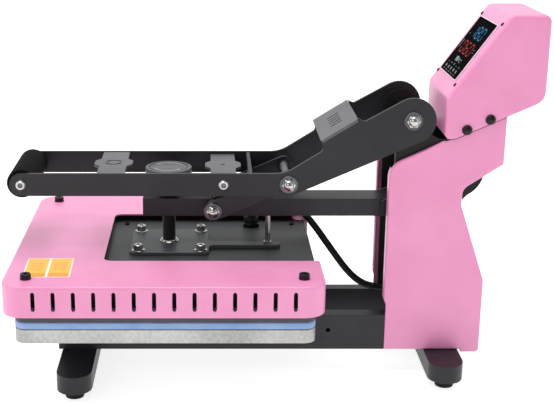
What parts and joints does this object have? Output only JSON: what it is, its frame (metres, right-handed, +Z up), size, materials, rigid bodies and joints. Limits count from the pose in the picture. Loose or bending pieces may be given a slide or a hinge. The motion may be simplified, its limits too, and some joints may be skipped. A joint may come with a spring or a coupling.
{
  "type": "clamshell heat press",
  "caption": "Flat-bed clamshell heat press: square heated platen on a swinging arm over a padded plate, closed by a toggle handle with a pressure knob, control box on a tower.",
  "frame": {"origin": "on the surface the feet stand on, under the middle of the bounding box", "axes": "+X from the operator's grip towards the tower, +Y to the operator's left, +Z up"},
  "size_m": [0.7046, 0.406, 0.496],
  "materials": {
    "pink_paint": "smooth powder coat, satin",
    "dark_grey_paint": "fine-textured powder coat",
    "black_paint": "powder coat, satin",
    "coated_steel": "heat-resistant coating, matt",
    "coated_aluminium": "non-stick coating",
    "cast_aluminium": "cast, machined edges",
    "silicone": "foamed silicone, matt",
    "bright_steel": "turned and zinc plated",
    "magnet_iron": "lacquered",
    "mineral_board": "pressed mineral board",
    "black_rubber": "matt",
    "black_plastic": "moulded",
    "display_plastic": "gloss tinted window",
    "circuit_board": "lacquered laminate"
  },
  "bodies": {
    "base": {"base_rail_near": "dark_grey_paint", "base_rail_far": "dark_grey_paint", "front_leg": "dark_grey_paint", "rear_leg": "dark_grey_paint", "foot_front_near": "black_rubber", "foot_front_far": "black_rubber", "foot_rear_near": "black_rubber", "foot_rear_far": "black_rubber", "pad_support_front": "dark_grey_paint", "pad_support_rear": "dark_grey_paint", "lower_platen": "cast_aluminium", "silicone_pad": "silicone", "tower_plate_near": "black_paint", "tower_plate_far": "black_paint", "tower_cover_near": "pink_paint", "tower_cover_far": "pink_paint", "tower_rear_panel": "pink_paint", "tower_back_upper": "pink_paint", "power_inlet": "black_plastic", "arm_hinge_shaft": "bright_steel", "handle_pivot_shaft": "bright_steel", "cable_clamp": "black_plastic", "strut_anchor_pin": "bright_steel", "control_box": "pink_paint", "display_panel": "display_plastic", "control_board": "circuit_board", "heater_cable": "black_rubber"},
    "arm": {"arm_beam": "dark_grey_paint", "arm_cheek_near": "dark_grey_paint", "arm_cheek_far": "dark_grey_paint", "link_bush": "bright_steel", "screw_collar": "black_paint", "holding_magnet": "magnet_iron"},
    "platen": {"heat_platen": "coated_aluminium", "insulation_board": "mineral_board", "platen_deck": "coated_steel", "platen_cover": "pink_paint", "screw_bracket": "coated_steel", "guide_pin": "bright_steel", "cable_gland": "black_plastic"},
    "pressure_screw": {"screw_rod": "black_paint", "screw_thread": "black_paint", "pressure_knob": "dark_grey_paint"},
    "lever": {"lever_plate_near": "dark_grey_paint", "lever_plate_far": "dark_grey_paint", "lever_bridge": "dark_grey_paint", "crossbar_front": "dark_grey_paint", "crossbar_rear": "dark_grey_paint", "spreader_plate": "dark_grey_paint", "armature_plate": "bright_steel", "grip_tube": "bright_steel", "grip_foam": "black_rubber", "link_pivot_shaft": "bright_steel"},
    "links": {"toggle_link_near": "dark_grey_paint", "toggle_link_far": "dark_grey_paint"},
    "strut_body": {"strut_cylinder": "black_paint"},
    "strut_piston": {"strut_rod": "bright_steel"},
    "switch": {"power_rocker": "black_plastic"}
  },
  "joints": [
    {"name": "arm_hinge", "type": "hinge", "parent": "base", "child": "arm", "pos_m": [0.244, 0, 0.288], "axis": [0, 1, 0], "range_deg": [0, 52], "deforming": ["heater_cable"]},
    {"name": "platen_slide", "type": "slide", "parent": "arm", "child": "platen", "axis": [0, 0, 1], "range_m": [0, 0.008], "deforming": ["heater_cable"]},
    {"name": "screw_turn", "type": "hinge", "parent": "platen", "child": "pressure_screw", "pos_m": [-0.139, 0, 0.26], "axis": [0, 0, 1], "range_deg": [0, 1440], "deforming": ["heater_cable"]},
    {"name": "handle_pivot", "type": "hinge", "parent": "base", "child": "lever", "pos_m": [0.1825, 0, 0.3585], "axis": [0, 1, 0], "range_deg": [0, 94]},
    {"name": "link_pivot", "type": "hinge", "parent": "lever", "child": "links", "pos_m": [0.02175, 0, 0.2725], "axis": [0, 1, 0], "range_deg": [-80.5, 0]},
    {"name": "strut_tilt", "type": "hinge", "parent": "base", "child": "strut_body", "pos_m": [0.215, 0, 0.052], "axis": [0, 1, 0], "range_deg": [-9.5, 0]},
    {"name": "strut_slide", "type": "slide", "parent": "strut_body", "child": "strut_piston", "axis": [-0.1722, 0, 0.9851], "range_m": [0, 0.09]},
    {"name": "switch_rock", "type": "hinge", "parent": "base", "child": "switch", "pos_m": [0.2865, -0.004, 0.089], "axis": [0, -1, 0], "range_deg": [0, 18]}
  ],
  "couplings": [
    {"joint": "handle_pivot", "follows": "arm_hinge", "ratio": 1.7987},
    {"joint": "link_pivot", "follows": "arm_hinge", "ratio": -1.5357},
    {"joint": "strut_tilt", "follows": "arm_hinge", "ratio": -0.1806},
    {"joint": "strut_slide", "follows": "arm_hinge", "m_per_rad": 0.098412},
    {"joint": "screw_turn", "follows": "platen_slide", "rad_per_m": 3141.6}
  ]
}
